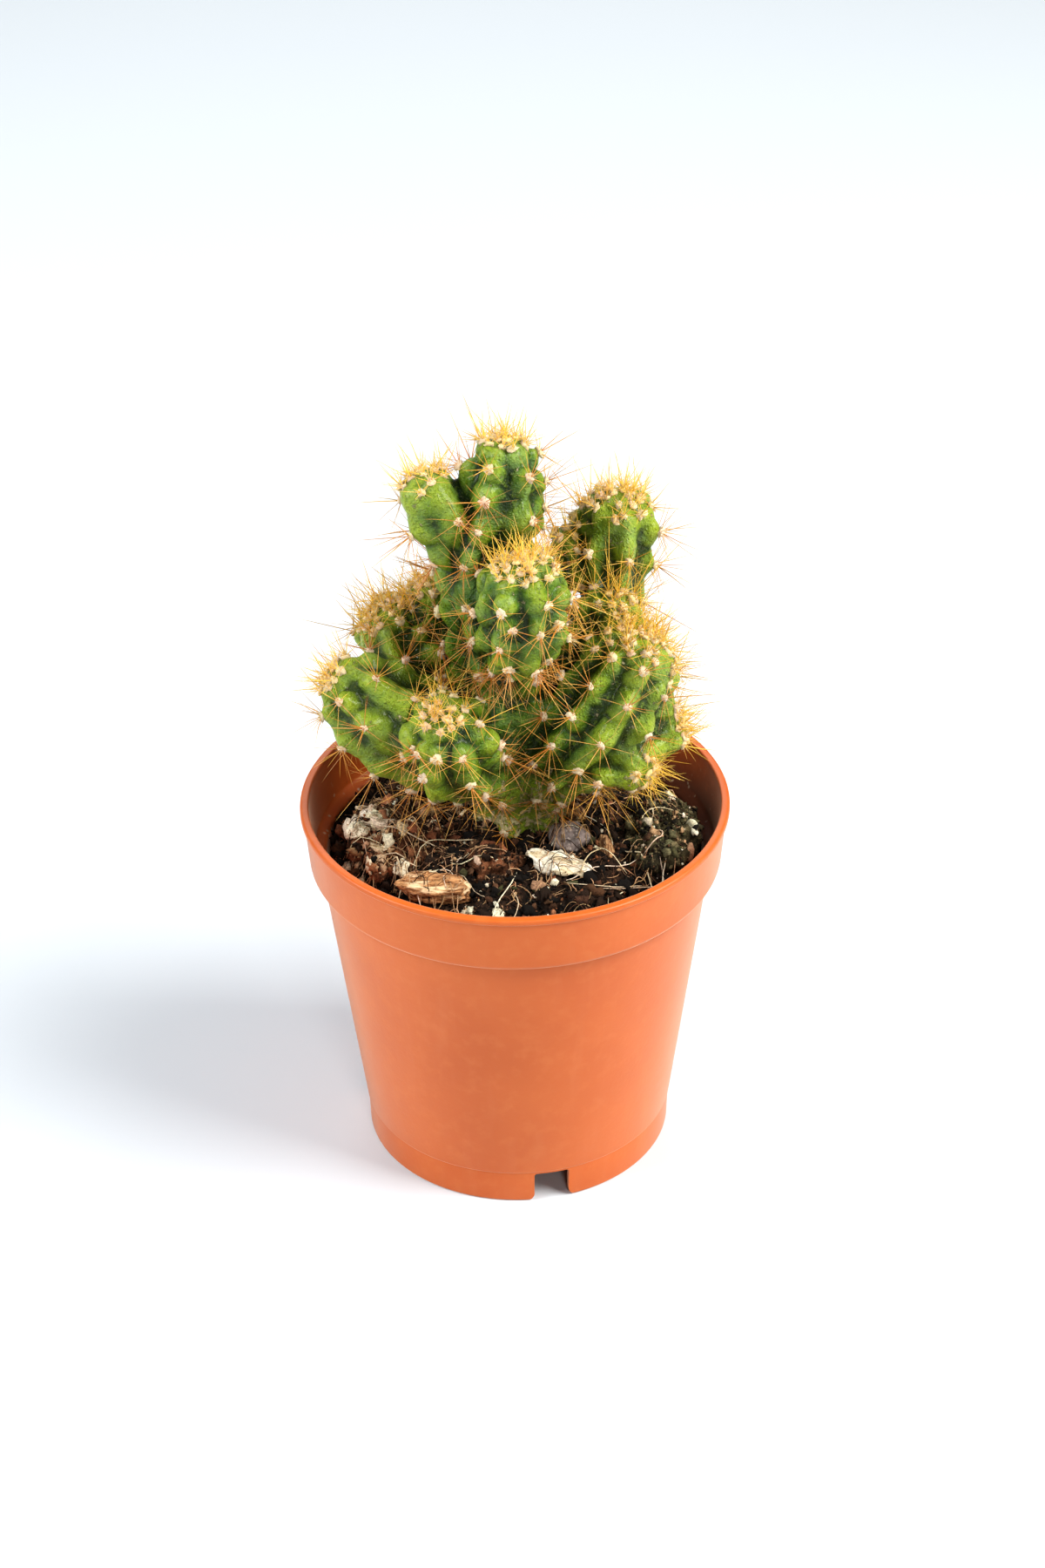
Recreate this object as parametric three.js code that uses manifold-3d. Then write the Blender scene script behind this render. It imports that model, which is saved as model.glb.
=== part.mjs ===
// A tall branching cactus in a small round nursery pot.
// Millimetres, +Z up. The origin is the middle of the pot's foot, on the surface that it stands on, and
// -Y is the side that the plant shows best.
// The pot is one thin moulded shell with a stepped collar, a raised floor with drain holes, and notches in
// its foot. It holds a plug of potting mix with loose pieces lying in its top. The plant is a central stem
// with shoots, each ribbed and knobbly, with a tuft of spines at its growing tip.
import * as THREE from "three";
import { mergeVertices } from "three/addons/utils/BufferGeometryUtils.js";
import Module from "manifold-3d";

const wasm = await Module();
wasm.setup();

const GAP = 0.3; // clear space that touching pieces keep

const POT = {
  height: 50,
  rimRadius: 27.5,
  lipHeight: 0.9,
  lipStep: 0.35, // how far the lip stands out from the collar
  collarHeight: 8,
  collarFootRadius: 26.5,
  bodyTopRadius: 25.1,
  bodyFootRadius: 20.3,
  footRadius: 20.0,
  footHeight: 4.6,
  footStep: 0.15,
  wall: 0.8,
  edge: 0.3, // how far its outer edges are taken off
  innerStep: 0.6, // how high the slope from body to collar is on the inside
  segments: 44,
};
const NOTCH = {
  count: 3,
  width: 4.6,
  corner: 1.1, // how far its lower corners flare out
  roof: 0.1, // how far under the pot's floor it ends
  firstAngle: -77.7,
  cutFrom: 4, // how far inside the foot's outer face its cutter starts
  cutDepth: 6,
  cutBelow: 1,
};
const DRAIN = { middleRadius: 2.5, outerRadius: 2.2, pitchRadius: 12, sides: 16, cutDepth: 4 };
const HEADROOM = 4; // how far above the rim a loose piece may reach

const SOIL = {
  level: 44.4,
  rise: 2.8, // how much higher it is round the stem
  edgeDrop: 1.6, // how much lower it is along the wall
  bump: 0.5,
  shoulder: 0.6, // how far under the pot's inner step its straight side ends
  segments: 32,
  rings: 5,
  edgeFlatness: 6, // how suddenly it falls towards the wall
  edgeShare: 0.4, // how much of that drop is there at the front and back, where it is least
  // the mounds: how many radians a millimetre along X and Y, where they start, and how strong they are
  mounds: [
    { x: 0.62, y: 0, start: 1.3, acrossY: 0.55, acrossStart: -0.4, strength: 1 },
    { x: 1.1, y: -0.9, start: 0, acrossY: 0, acrossStart: 0, strength: 0.6 },
    { x: 0, y: 1.7, start: Math.PI / 2, acrossY: 0, acrossStart: 0, strength: 0.4 },
  ],
};

// ---- shapes -------------------------------------------------------------------------------------

// A repeatable number from -1 to 1 for any pair of whole numbers.
function scatter(a, b) {
  const s = Math.sin(a * 127.1 + b * 311.7) * 43758.5453;
  return 2 * (s - Math.floor(s)) - 1;
}

function solidOf(geometry) {
  const bare = geometry.index ? geometry.toNonIndexed() : geometry.clone();
  for (const name of Object.keys(bare.attributes)) if (name !== "position") bare.deleteAttribute(name);
  const merged = mergeVertices(bare, 1e-4);
  return new wasm.Manifold(
    new wasm.Mesh({
      numProp: 3,
      vertProperties: merged.attributes.position.array,
      triVerts: new Uint32Array(merged.index.array),
    }),
  );
}

function geometryOf(solid) {
  const mesh = solid.getMesh();
  const places = new Float32Array(mesh.numVert * 3);
  for (let i = 0; i < mesh.numVert; i++) {
    places.set(mesh.vertProperties.subarray(i * mesh.numProp, i * mesh.numProp + 3), i * 3);
  }
  const geometry = new THREE.BufferGeometry();
  geometry.setAttribute("position", new THREE.BufferAttribute(places, 3));
  geometry.setIndex(new THREE.BufferAttribute(mesh.triVerts.slice(), 1));
  geometry.computeVertexNormals();
  return geometry;
}

function largestBody(solid) {
  return solid.decompose().sort((a, b) => b.volume() - a.volume())[0];
}

// A closed skin over rings of points, with one point at each end. Every ring has the same number of points.
function skinOver(start, rings, end) {
  const places = [start, ...rings.flat(), end].flatMap((p) => p.toArray());
  const around = rings[0].length;
  const last = 1 + rings.length * around;
  const faces = [];
  for (let j = 0; j < around; j++) {
    const next = (j + 1) % around;
    faces.push(0, 1 + next, 1 + j);
    for (let k = 0; k < rings.length - 1; k++) {
      const [a, b] = [1 + k * around, 1 + (k + 1) * around];
      faces.push(a + j, a + next, b + next, a + j, b + next, b + j);
    }
    const top = last - around;
    faces.push(last, top + j, top + next);
  }
  const geometry = new THREE.BufferGeometry();
  geometry.setAttribute("position", new THREE.Float32BufferAttribute(places, 3));
  geometry.setIndex(faces);
  return geometry;
}

// ---- pot ----------------------------------------------------------------------------------------

// The pot's inner outline from the middle of the floor to the rim's inner edge, moved inwards by inset.
function innerOutline(inset = 0) {
  const collarFoot = POT.height - POT.collarHeight;
  const thick = POT.wall + inset;
  return [
    new THREE.Vector2(0, POT.footHeight + thick),
    new THREE.Vector2(POT.bodyFootRadius - thick, POT.footHeight + thick),
    new THREE.Vector2(POT.bodyTopRadius - thick, collarFoot + POT.wall),
    new THREE.Vector2(POT.collarFootRadius - thick, collarFoot + POT.wall + POT.innerStep),
    new THREE.Vector2(POT.rimRadius - POT.lipStep - thick, POT.height - POT.lipHeight),
  ];
}

function potOutline() {
  const collarFoot = POT.height - POT.collarHeight;
  const lipFoot = POT.height - POT.lipHeight;
  const inner = innerOutline();
  return [
    new THREE.Vector2(0, POT.footHeight),
    new THREE.Vector2(POT.footRadius - POT.wall, POT.footHeight),
    new THREE.Vector2(POT.footRadius - POT.wall, 0),
    new THREE.Vector2(POT.footRadius, 0),
    new THREE.Vector2(POT.bodyFootRadius - POT.footStep, POT.footHeight),
    new THREE.Vector2(POT.bodyFootRadius, POT.footHeight + POT.edge),
    new THREE.Vector2(POT.bodyTopRadius, collarFoot - POT.edge),
    new THREE.Vector2(POT.collarFootRadius, collarFoot),
    new THREE.Vector2(POT.rimRadius - POT.lipStep, lipFoot - POT.edge),
    new THREE.Vector2(POT.rimRadius, lipFoot),
    new THREE.Vector2(POT.rimRadius, POT.height - POT.edge),
    new THREE.Vector2(POT.rimRadius - POT.edge, POT.height),
    new THREE.Vector2(POT.rimRadius - POT.lipStep - POT.wall + POT.edge, POT.height),
    ...inner.reverse(),
  ];
}

// The room inside the pot, up to a little above its rim, kept clear of the wall.
function roomInside() {
  const wall = innerOutline(GAP);
  const above = POT.height + HEADROOM;
  const outline = [...wall, new THREE.Vector2(wall.at(-1).x, above), new THREE.Vector2(0, above)];
  return solidOf(new THREE.LatheGeometry(outline, POT.segments).rotateX(Math.PI / 2));
}

// A notch's outline stands on the ground, and its two lower corners flare out with a round.
function notchCutter() {
  const { corner, cutBelow } = NOTCH;
  const half = NOTCH.width / 2;
  const top = POT.footHeight - NOTCH.roof;
  const outline = new THREE.Shape();
  outline.moveTo(-half - corner, -cutBelow);
  outline.lineTo(-half - corner, 0);
  outline.quadraticCurveTo(-half, 0, -half, corner);
  outline.lineTo(-half, top);
  outline.lineTo(half, top);
  outline.lineTo(half, corner);
  outline.quadraticCurveTo(half, 0, half + corner, 0);
  outline.lineTo(half + corner, -cutBelow);
  const settings = { depth: NOTCH.cutDepth, bevelEnabled: false, curveSegments: 3 };
  const cutter = new THREE.ExtrudeGeometry(outline, settings);
  cutter.rotateX(Math.PI / 2).rotateZ(Math.PI / 2).translate(POT.footRadius - NOTCH.cutFrom, 0, 0);
  return cutter;
}

function drainCutter(radius) {
  const cutter = new THREE.CylinderGeometry(radius, radius, DRAIN.cutDepth, DRAIN.sides);
  cutter.rotateX(Math.PI / 2).translate(0, 0, POT.footHeight);
  return cutter;
}

function potSolid() {
  const shell = new THREE.LatheGeometry(potOutline(), POT.segments);
  shell.rotateX(Math.PI / 2);
  let pot = solidOf(shell).subtract(solidOf(drainCutter(DRAIN.middleRadius)));
  for (let i = 0; i < NOTCH.count; i++) {
    const turn = THREE.MathUtils.degToRad(NOTCH.firstAngle + (360 / NOTCH.count) * i);
    pot = pot.subtract(solidOf(notchCutter().rotateZ(turn)));
    const hole = drainCutter(DRAIN.outerRadius).translate(DRAIN.pitchRadius, 0, 0);
    pot = pot.subtract(solidOf(hole.rotateZ(turn)));
  }
  return pot;
}

// ---- plant --------------------------------------------------------------------------------------

// Each stem follows its path from where it grows to its tip. A path point holds X, Y, Z and the stem's
// radius there. crest is how much wider the stem is across its fan than through it, and turn rotates the
// ribs.
const STEMS = {
  central_stem: {
    path: [
      [0.8, 1.6, 41, 5.0],
      [0.8, 1.4, 50, 5.6],
      [-0.8, 1, 64, 6.0],
      [-2.6, 0.8, 76, 5.3],
      [-3.6, 1, 85, 4.8],
      [-1.4, 1.2, 92.5, 5.1],
      [-0.9, 1.4, 99.4, 3.8],
    ],
    ribs: 6,
    turn: 10,
  },
  crown_side_shoot: {
    path: [
      [-4.6, 0.6, 84, 3.3],
      [-7.8, 0.2, 89.4, 3.9],
      [-10.4, 0, 95.4, 3.2],
    ],
    ribs: 5,
    turn: 30,
  },
  front_shoot: {
    path: [
      [-0.4, -3, 75, 3.4],
      [0.6, -6.2, 77.6, 4.6],
      [1.2, -7.8, 82.5, 5.2],
      [1.4, -8, 88, 4.4],
    ],
    ribs: 8,
    turn: 12,
  },
  right_shoot: {
    path: [
      [3, 0, 54, 4.0],
      [8, -2, 60, 5.4],
      [12.2, -2.4, 66.4, 6.3],
      [15.8, -1.4, 73.4, 5.6],
    ],
    crest: 1.12,
    ribs: 9,
    turn: 0,
  },
  left_shoot: {
    path: [
      [-2.6, -0.4, 54.5, 4.2],
      [-9.4, -2.8, 59.8, 5.6],
      [-15.4, -3.8, 64.8, 6.0],
      [-21.6, -3.4, 70, 4.5],
    ],
    ribs: 7,
    turn: 0,
  },
  front_left_shoot: {
    path: [
      [-4.6, -2, 57, 4.2],
      [-7.4, -6.2, 60.6, 5.1],
      [-8.4, -9.2, 65, 5.0],
      [-8.7, -11, 69, 4.0],
    ],
    ribs: 7,
    turn: 20,
  },
  rear_left_shoot: {
    path: [
      [-3, 3, 56, 3.8],
      [-9, 4.6, 62.5, 4.8],
      [-13.4, 5.6, 69, 5.1],
      [-15.9, 5.6, 74.4, 4.0],
    ],
    crest: 1.12,
    ribs: 7,
    turn: 0,
  },
  rear_left_side_shoot: {
    path: [
      [-7, 5, 65, 3.2],
      [-9.8, 7, 71.5, 3.9],
      [-10.6, 7.4, 76.6, 3.3],
    ],
    ribs: 5,
    turn: 0,
  },
  upper_right_shoot: {
    path: [
      [3, 4, 63, 3.0],
      [9.8, 7, 69.6, 2.9],
      [12.2, 7.6, 76, 3.4],
      [12.9, 7.6, 82, 4.9],
      [13.4, 7.6, 88.4, 4.3],
    ],
    ribs: 7,
    turn: 8,
  },
  upper_right_side_shoot: {
    path: [
      [11, 7.6, 75, 2.0],
      [8.2, 7.4, 79.6, 2.4],
      [7.2, 7.2, 84, 2.0],
    ],
    ribs: 5,
    turn: 0,
  },
  right_rear_shoot: {
    path: [
      [6, 3, 65, 2.8],
      [10.4, 3, 71.5, 3.6],
      [12.4, 2.4, 78.2, 3.0],
    ],
    ribs: 5,
    turn: 0,
  },
  right_low_shoot: {
    path: [
      [12, -2, 60.4, 3.0],
      [16.6, -1.8, 60.6, 3.5],
      [20.4, -1.4, 61.6, 2.9],
    ],
    ribs: 5,
    turn: 0,
  },
  right_base_shoot: {
    path: [
      [9, -3, 60.4, 3.3],
      [12.8, -4.8, 59, 3.4],
      [16, -6.6, 58, 2.6],
    ],
    ribs: 5,
    turn: 0,
  },
};
const RIB = {
  points: 4, // round the stem, to a rib
  depth: 0.14, // how far crests and furrows are from the stem's radius, as a share of it
};
const AREOLE = {
  spacing: 4.8, // along a crest
  raise: 0.55,
  vary: 0.4,
  dip: 0.5, // how deep the crest sinks between two areoles, as a share of raise
  slimRadius: 3, // stems slimmer than this have lower ones
};
// Shares of the tip's radius: where its last rings step forward, how far from the path's end the rounding
// starts, and how far the rings and the point itself reach.
const TIP = { rings: [0.5, 0.85], setBack: 0.55, reach: 0.75, peak: 0.74 };
const SEED = { step: 31, first: 5, rib: 7, loose: 3 }; // these keep the pieces' roughness from repeating

// The stem's radius at a place along its path, from 0 at its foot to 1 at its tip.
function girthAt(path, place) {
  const at = place * (path.length - 1);
  const i = Math.min(Math.floor(at), path.length - 2);
  const share = THREE.MathUtils.smoothstep(at - i, 0, 1);
  return path[i][3] + (path[i + 1][3] - path[i][3]) * share;
}

// One ring of a stem: four points to a rib, on its crest, on each flank and in the furrow. Crests stand
// higher at every second ring, where an areole sits, and neighbouring ribs take turns.
function stemRing(stem, seed, k, centre, across, up, radius, grow, twist) {
  const points = [];
  const count = stem.ribs * RIB.points;
  for (let j = 0; j < count; j++) {
    const rib = Math.floor(j / RIB.points);
    const place = j % RIB.points;
    const angle = (j / count) * 2 * Math.PI + twist;
    let reach = radius;
    if (place === 0) {
      const areole = (k + rib) % 2 === 0;
      const vary = 1 + AREOLE.vary * scatter(seed + rib * SEED.rib, k);
      reach *= 1 + RIB.depth;
      reach += AREOLE.raise * (areole ? vary : -AREOLE.dip) * Math.min(1, radius / AREOLE.slimRadius);
    }
    if (place === RIB.points / 2) reach *= 1 - RIB.depth;
    reach += grow;
    const wide = reach * (stem.crest ?? 1);
    points.push(
      centre
        .clone()
        .addScaledVector(across, wide * Math.cos(angle))
        .addScaledVector(up, reach * Math.sin(angle)),
    );
  }
  return points;
}

function stemSolid(name, grow = 0) {
  const stem = STEMS[name];
  const seed = Object.keys(STEMS).indexOf(name) * SEED.step + SEED.first;
  const line = new THREE.CatmullRomCurve3(stem.path.map(([x, y, z]) => new THREE.Vector3(x, y, z)));
  const tipRadius = stem.path.at(-1)[3];
  const straight = 1 - (tipRadius * TIP.setBack) / line.getLength();
  const steps = Math.max(2, Math.round((straight * line.getLength()) / (AREOLE.spacing / 2)));
  const frames = line.computeFrenetFrames(steps + 1);
  const turn = THREE.MathUtils.degToRad(stem.turn);
  const rings = [];
  for (let k = 0; k <= steps; k++) {
    const share = (k / steps) * straight;
    const radius = girthAt(stem.path, line.getUtoTmapping(share));
    const [across, up] = [frames.normals[k], frames.binormals[k]];
    rings.push(stemRing(stem, seed, k, line.getPointAt(share), across, up, radius, grow, turn));
  }
  const shoulder = line.getPointAt(straight);
  const ahead = line.getTangentAt(1);
  const across = frames.normals[steps];
  const up = frames.binormals[steps];
  TIP.rings.forEach((share, i) => {
    const radius = tipRadius * Math.sqrt(1 - share * share);
    const centre = shoulder.clone().addScaledVector(ahead, (tipRadius + grow) * share * TIP.reach);
    rings.push(stemRing(stem, seed, steps + 1 + i, centre, across, up, radius, grow, turn));
  });
  const tip = shoulder.clone().addScaledVector(ahead, (tipRadius + grow) * TIP.peak);
  return { solid: solidOf(skinOver(line.getPointAt(0), rings, tip)), tip, ahead };
}

// A tuft of stiff spines that fans out from the woolly middle of a growing tip.
const UP = new THREE.Vector3(0, 1, 0); // the way that a tuft points before it is turned
const TUFT = {
  spines: 5,
  length: 4.6,
  lengthVary: 0.2,
  thick: 0.3,
  sides: 3,
  lean: 0.62,
  leanVary: 0.3,
  middleLean: 0.1,
  padRadius: 1.1,
  padHeight: 0.8,
  padSides: 5,
  standOff: 0.5, // how far above the stem's tip its pad's middle is
};

function tuftSolid({ tip, ahead }, seed) {
  const pad = new THREE.CylinderGeometry(TUFT.padRadius, TUFT.padRadius, TUFT.padHeight, TUFT.padSides);
  let tuft = solidOf(pad);
  for (let i = 0; i < TUFT.spines; i++) {
    const length = TUFT.length * (1 + TUFT.lengthVary * scatter(seed, i));
    const lean = i === 0 ? TUFT.middleLean : TUFT.lean * (1 + TUFT.leanVary * scatter(i, seed));
    const spine = new THREE.ConeGeometry(TUFT.thick, length, TUFT.sides).translate(0, length / 2, 0);
    spine.rotateX(lean).rotateY((i / (TUFT.spines - 1)) * 2 * Math.PI);
    tuft = tuft.add(solidOf(spine));
  }
  const geometry = geometryOf(tuft);
  geometry.applyQuaternion(new THREE.Quaternion().setFromUnitVectors(UP, ahead));
  geometry.translate(...tip.clone().addScaledVector(ahead, TUFT.standOff).toArray());
  return solidOf(geometry);
}

// ---- potting mix --------------------------------------------------------------------------------

function soilHeight(x, y) {
  let waves = 0;
  for (const mound of SOIL.mounds) {
    const along = Math.sin(x * mound.x + y * mound.y + mound.start);
    waves += mound.strength * along * Math.cos(y * mound.acrossY + mound.acrossStart);
  }
  const out = Math.hypot(x, y) / POT.bodyTopRadius;
  const side = Math.abs(x) / POT.bodyTopRadius;
  const fall = SOIL.edgeDrop * out ** SOIL.edgeFlatness * (SOIL.edgeShare + side);
  return SOIL.level + SOIL.rise * (1 - out) - fall + SOIL.bump * waves;
}

function soilSolid() {
  const [floorMiddle, floorEdge, brim] = innerOutline(GAP);
  const ring = (radius, height) => {
    const points = [];
    for (let j = 0; j < SOIL.segments; j++) {
      const angle = (j / SOIL.segments) * 2 * Math.PI;
      const [x, y] = [radius * Math.cos(angle), radius * Math.sin(angle)];
      points.push(new THREE.Vector3(x, y, height ?? soilHeight(x, y)));
    }
    return points;
  };
  const rings = [ring(floorEdge.x, floorEdge.y), ring(brim.x, brim.y - SOIL.shoulder)];
  for (let i = 0; i < SOIL.rings; i++) rings.push(ring(brim.x * (1 - i / SOIL.rings)));
  const bottom = new THREE.Vector3(0, 0, floorMiddle.y);
  return solidOf(skinOver(bottom, rings, new THREE.Vector3(0, 0, soilHeight(0, 0))));
}

// Loose pieces in the top of the mix: where each one's middle is, its half sizes, its turn about Z, and how
// rough and how tilted it is.
const LOOSE = {
  grey_pebble: { at: [6.8, -4.9, 47.0], half: [2.7, 2.4, 2.1], turn: 20, rough: 0.12, tilt: 5 },
  bark_chip: { at: [-10.2, -14.8, 46.2], half: [4.9, 2.2, 1.8], turn: -4, rough: 0.2, tilt: 8 },
  pale_flake: { at: [5.6, -9.8, 46.4], half: [4.3, 2.2, 0.8], turn: -14, rough: 0.22, tilt: 10 },
  front_clod: { at: [-2.6, -9.0, 45.8], half: [3.6, 3.2, 2.4], turn: 40, rough: 0.24, tilt: 0 },
  left_clod: { at: [-15.2, -2.4, 45.4], half: [6.8, 7.4, 3.6], turn: 10, rough: 0.18, tilt: 6 },
  right_clod: { at: [19.2, -3.0, 45.2], half: [4.8, 7.0, 3.6], turn: -8, rough: 0.18, tilt: -6 },
  husk: { at: [7.8, 0.6, 47.2], half: [1.2, 1.9, 1.2], turn: 25, rough: 0.1, tilt: 20 },
  bark_splinter: { at: [11.6, -5.4, 45.8], half: [0.9, 3.0, 0.9], turn: 12, rough: 0.14, tilt: 14 },
  perlite_left: { at: [-20.0, -5.0, 48.4], half: [1.5, 1.4, 1.3], turn: 30, rough: 0.22, tilt: 0 },
  perlite_middle: { at: [-14.4, -10.6, 46.4], half: [1.2, 1.1, 1.0], turn: 50, rough: 0.22, tilt: 0 },
  perlite_right: { at: [19.8, 4.8, 46.0], half: [1.3, 1.2, 1.1], turn: 0, rough: 0.22, tilt: 0 },
  perlite_rear: { at: [3.4, 15.2, 45.2], half: [1.5, 1.3, 1.2], turn: 75, rough: 0.22, tilt: 0 },
};

const FINE_FROM = 2; // a loose piece whose longest half size is more than this has finer faces

function looseSolid(name, grow = 0) {
  const { at, half, turn, rough, tilt } = LOOSE[name];
  const seed = Object.keys(LOOSE).indexOf(name) + SEED.loose;
  const lump = mergeVertices(bareSphere(Math.max(...half) > FINE_FROM ? 2 : 1));
  const places = lump.attributes.position;
  const point = new THREE.Vector3();
  for (let i = 0; i < places.count; i++) {
    point.fromBufferAttribute(places, i).normalize();
    point.multiplyScalar(1 + rough * scatter(seed, i));
    point.set(point.x * (half[0] + grow), point.y * (half[1] + grow), point.z * (half[2] + grow));
    places.setXYZ(i, point.x, point.y, point.z);
  }
  lump.rotateY(THREE.MathUtils.degToRad(tilt)).rotateZ(THREE.MathUtils.degToRad(turn)).translate(...at);
  return solidOf(lump);
}

function bareSphere(detail) {
  const sphere = new THREE.IcosahedronGeometry(1, detail);
  sphere.deleteAttribute("normal");
  sphere.deleteAttribute("uv");
  return sphere;
}

// ---- assembly -----------------------------------------------------------------------------------

const COLOURS = {
  pot: { color: 0xd8703f, roughness: 0.42, metalness: 0 },
  soil: { color: 0x3a2a20, roughness: 0.95, metalness: 0 },
  stem: { color: 0x4f8f35, roughness: 0.5, metalness: 0 },
  spines: { color: 0xd99a35, roughness: 0.6, metalness: 0 },
  pebble: { color: 0x77727c, roughness: 0.85, metalness: 0 },
  bark: { color: 0xa9794c, roughness: 0.9, metalness: 0 },
  pale: { color: 0xe6dcb9, roughness: 0.9, metalness: 0 },
  clod: { color: 0x6a4a36, roughness: 0.95, metalness: 0 },
};
const LOOSE_LOOKS = {
  grey_pebble: "pebble",
  bark_chip: "bark",
  bark_splinter: "bark",
  front_clod: "clod",
  left_clod: "clod",
  right_clod: "clod",
};

const cactus = new THREE.Group();

function addNode(name, solid, look) {
  const mesh = new THREE.Mesh(geometryOf(solid), new THREE.MeshStandardMaterial(COLOURS[look]));
  mesh.name = name;
  cactus.add(mesh);
}

addNode("pot", potSolid(), "pot");

// Stems in the order that they grow. Each is cut back from those before it, and leaves a gap.
const grown = [];
const kept = {};
for (const name of Object.keys(STEMS)) {
  let { solid } = stemSolid(name);
  for (const earlier of grown) solid = solid.subtract(earlier);
  kept[name] = largestBody(solid);
  grown.push(stemSolid(name, GAP).solid);
}
for (const [name, solid] of Object.entries(kept)) addNode(name, solid, "stem");

Object.keys(STEMS).forEach((name, i) => {
  let tuft = tuftSolid(stemSolid(name), i + 1);
  for (const stem of grown) tuft = tuft.subtract(stem);
  addNode(name + "_spines", largestBody(tuft), "spines");
});

// Loose pieces are kept off the wall and cut back from the stems and from each other. The mix is cut back
// from all of them.
const inside = roomInside();
const settled = [];
for (const name of Object.keys(LOOSE)) {
  let solid = looseSolid(name).intersect(inside);
  for (const other of [...grown, ...settled]) solid = solid.subtract(other);
  addNode(name, largestBody(solid), LOOSE_LOOKS[name] ?? "pale");
  settled.push(looseSolid(name, GAP));
}
let mix = soilSolid();
for (const other of [...grown, ...settled]) mix = mix.subtract(other);
addNode("potting_mix", largestBody(mix), "soil");

export default cactus;
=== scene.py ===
import math
import random

import bmesh
import bpy
import numpy as np
from mathutils import Matrix, Vector, noise
from mathutils.bvhtree import BVHTree
from mathutils.kdtree import KDTree


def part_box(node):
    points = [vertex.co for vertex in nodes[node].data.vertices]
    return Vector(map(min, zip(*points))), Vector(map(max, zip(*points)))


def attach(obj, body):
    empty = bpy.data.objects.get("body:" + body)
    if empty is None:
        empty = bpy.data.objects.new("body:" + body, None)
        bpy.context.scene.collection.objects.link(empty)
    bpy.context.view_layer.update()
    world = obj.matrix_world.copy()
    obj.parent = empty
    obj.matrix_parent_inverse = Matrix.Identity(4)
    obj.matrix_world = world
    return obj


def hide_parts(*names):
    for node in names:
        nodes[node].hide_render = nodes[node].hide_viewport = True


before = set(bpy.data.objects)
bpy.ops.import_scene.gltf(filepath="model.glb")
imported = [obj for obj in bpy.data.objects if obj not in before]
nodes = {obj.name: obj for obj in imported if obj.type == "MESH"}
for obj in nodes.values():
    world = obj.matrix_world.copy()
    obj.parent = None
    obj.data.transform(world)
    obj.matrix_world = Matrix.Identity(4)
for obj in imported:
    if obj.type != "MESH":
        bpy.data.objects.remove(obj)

# A branching cactus in a nursery pot. Lengths in the dictionaries are in millimetres.
mm = 0.001
up = Vector((0, 0, 1))
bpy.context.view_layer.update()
stemNames = [n for n in nodes if n + "_spines" in nodes]
tuftNames = [n + "_spines" for n in stemNames]
print("frame loaded:", len(nodes), "nodes,", len(stemNames), "stems")


# Camera and light.

def newObject(label, data):
    obj = bpy.data.objects.new(label, data)
    bpy.context.scene.collection.objects.link(obj)
    return obj


cameraView = {
    "elevation": 33,
    "distance": 450,
    "lens": 81,
    "roll": -0.011,
    "lookAt": (1.0, 0.0, 52.0),
}


def placeCamera(view):
    data = bpy.data.cameras.new("main camera")
    data.lens = view["lens"]
    camera = newObject("main camera", data)
    tilt = math.radians(view["elevation"])
    target = Vector(view["lookAt"]) * mm
    spot = target + Vector((0, -math.cos(tilt), math.sin(tilt))) * view["distance"] * mm
    turn = (target - spot).to_track_quat("-Z", "Y").to_matrix().to_4x4()
    camera.matrix_world = Matrix.Translation(spot) @ turn @ Matrix.Rotation(view["roll"], 4, "Z")
    bpy.context.scene.camera = camera


studio = {
    "sky": (0.86, 0.94, 1.0),
    "skyStrength": 0.11,
    # name: watts, size, where it stands, colour
    "lamps": {
        "key lamp": (7.4, 420, (480, -150, 520), (1.0, 0.985, 0.95)),
        "fill lamp": (4.0, 420, (-520, -110, 390), (0.96, 0.98, 1.0)),
        "back lamp": (1.2, 400, (-60, 560, 460), (1.0, 1.0, 1.0)),
        "front lamp": (1.0, 130, (120, -620, 420), (1.0, 0.98, 0.95)),
    },
}


def lightStudio(look):
    world = bpy.data.worlds.new("studio sky")
    world.use_nodes = True
    sky = world.node_tree.nodes["Background"]
    sky.inputs["Color"].default_value = (*look["sky"], 1)
    sky.inputs["Strength"].default_value = look["skyStrength"]
    bpy.context.scene.world = world
    for name, (watts, size, spot, tint) in look["lamps"].items():
        data = bpy.data.lights.new(name, "AREA")
        data.energy = watts
        data.size = size * mm
        data.color = tint
        lamp = newObject(name, data)
        lamp.location = Vector(spot) * mm
        aim = Vector((0, 0, 50)) * mm - lamp.location
        lamp.rotation_euler = aim.to_track_quat("-Z", "Y").to_euler()
    bpy.context.scene.view_settings.view_transform = "Standard"
    bpy.context.scene.view_settings.look = "Medium High Contrast"


placeCamera(cameraView)
lightStudio(studio)
print("camera and lamps placed")


# Small tools for modelling.


def deselectAll():
    for obj in bpy.context.selected_objects:
        obj.select_set(False)


def pick(obj):
    deselectAll()
    obj.select_set(True)
    bpy.context.view_layer.objects.active = obj


def applyModifier(obj, kind, **settings):
    pick(obj)
    modifier = obj.modifiers.new(kind.title(), kind)
    for key, value in settings.items():
        setattr(modifier, key, value)
    bpy.ops.object.modifier_apply(modifier=modifier.name)


def restAtOrigin(obj):
    pick(obj)
    bpy.ops.object.transform_apply(location=True, rotation=True, scale=True)


def faceOutwards(obj):
    mesh = bmesh.new()
    mesh.from_mesh(obj.data)
    bmesh.ops.recalc_face_normals(mesh, faces=mesh.faces)
    if mesh.calc_volume(signed=True) < 0:
        bmesh.ops.reverse_faces(mesh, faces=mesh.faces)
    mesh.to_mesh(obj.data)
    mesh.free()


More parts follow.
